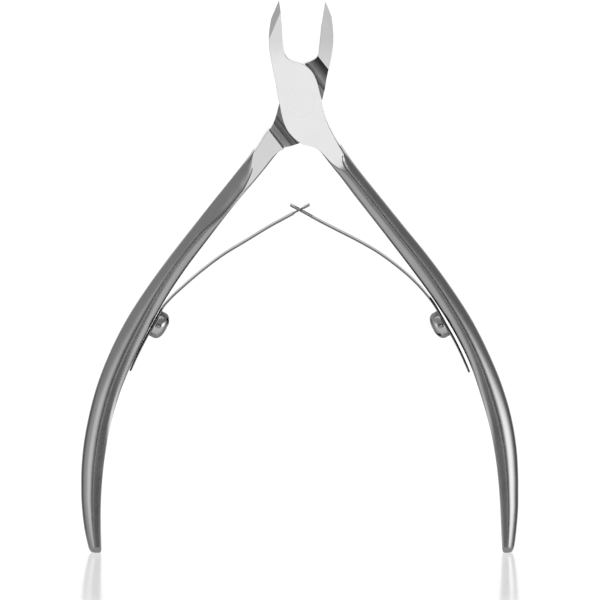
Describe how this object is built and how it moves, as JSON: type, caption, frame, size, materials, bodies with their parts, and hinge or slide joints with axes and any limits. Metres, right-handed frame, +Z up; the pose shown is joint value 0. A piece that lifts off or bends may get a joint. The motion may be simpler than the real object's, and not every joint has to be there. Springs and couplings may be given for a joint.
{
  "type": "cuticle nipper",
  "caption": "Lap-jointed cuticle nipper with angled cutting jaws, curved handles and interlocking leaf springs that hold it open.",
  "frame": {"origin": "on the floor, under the middle of the bounding box, with the tool standing open on its handle ends", "axes": "+X across the handles towards the front arm's handle, +Y through the thickness of the lap joint from its front face to its back face, +Z up from the handle ends to the jaw tips"},
  "size_m": [0.082, 0.0066, 0.1034],
  "materials": {
    "arm_steel": "polished joint and jaws, satin handles",
    "rivet_steel": "polished flush with the joint",
    "spring_steel": "bright strip",
    "screw_steel": "polished"
  },
  "bodies": {
    "front_arm_body": {"front_arm": "arm_steel", "pivot_rivet": "rivet_steel", "right_spring_screw": "screw_steel"},
    "rear_arm_body": {"rear_arm": "arm_steel", "left_spring_screw": "screw_steel"},
    "right_spring_body": {"right_leaf_spring": "spring_steel"},
    "left_spring_body": {"left_leaf_spring": "spring_steel"}
  },
  "joints": [
    {"name": "arm_pivot", "type": "hinge", "parent": "front_arm_body", "child": "rear_arm_body", "pos_m": [0.0001, 0, 0.08486], "axis": [0, -1, 0], "range_deg": [0, 26.3], "stiffness_Nm_per_rad": 0.5, "springref_deg": -2.86},
    {"name": "right_spring_flex", "type": "hinge", "parent": "front_arm_body", "child": "right_spring_body", "pos_m": [0.02567, 0, 0.0458], "axis": [0, 1, 0], "range_deg": [0, 10.6], "stiffness_Nm_per_rad": 0.05, "deforming": ["right_leaf_spring"]},
    {"name": "left_spring_flex", "type": "hinge", "parent": "rear_arm_body", "child": "left_spring_body", "pos_m": [-0.02576, 0, 0.04588], "axis": [0, -1, 0], "range_deg": [0, 10.6], "stiffness_Nm_per_rad": 0.05, "deforming": ["left_leaf_spring"]}
  ],
  "couplings": [
    {"joint": "right_spring_flex", "follows": "arm_pivot", "ratio": 0.393},
    {"joint": "left_spring_flex", "follows": "arm_pivot", "ratio": 0.393}
  ]
}
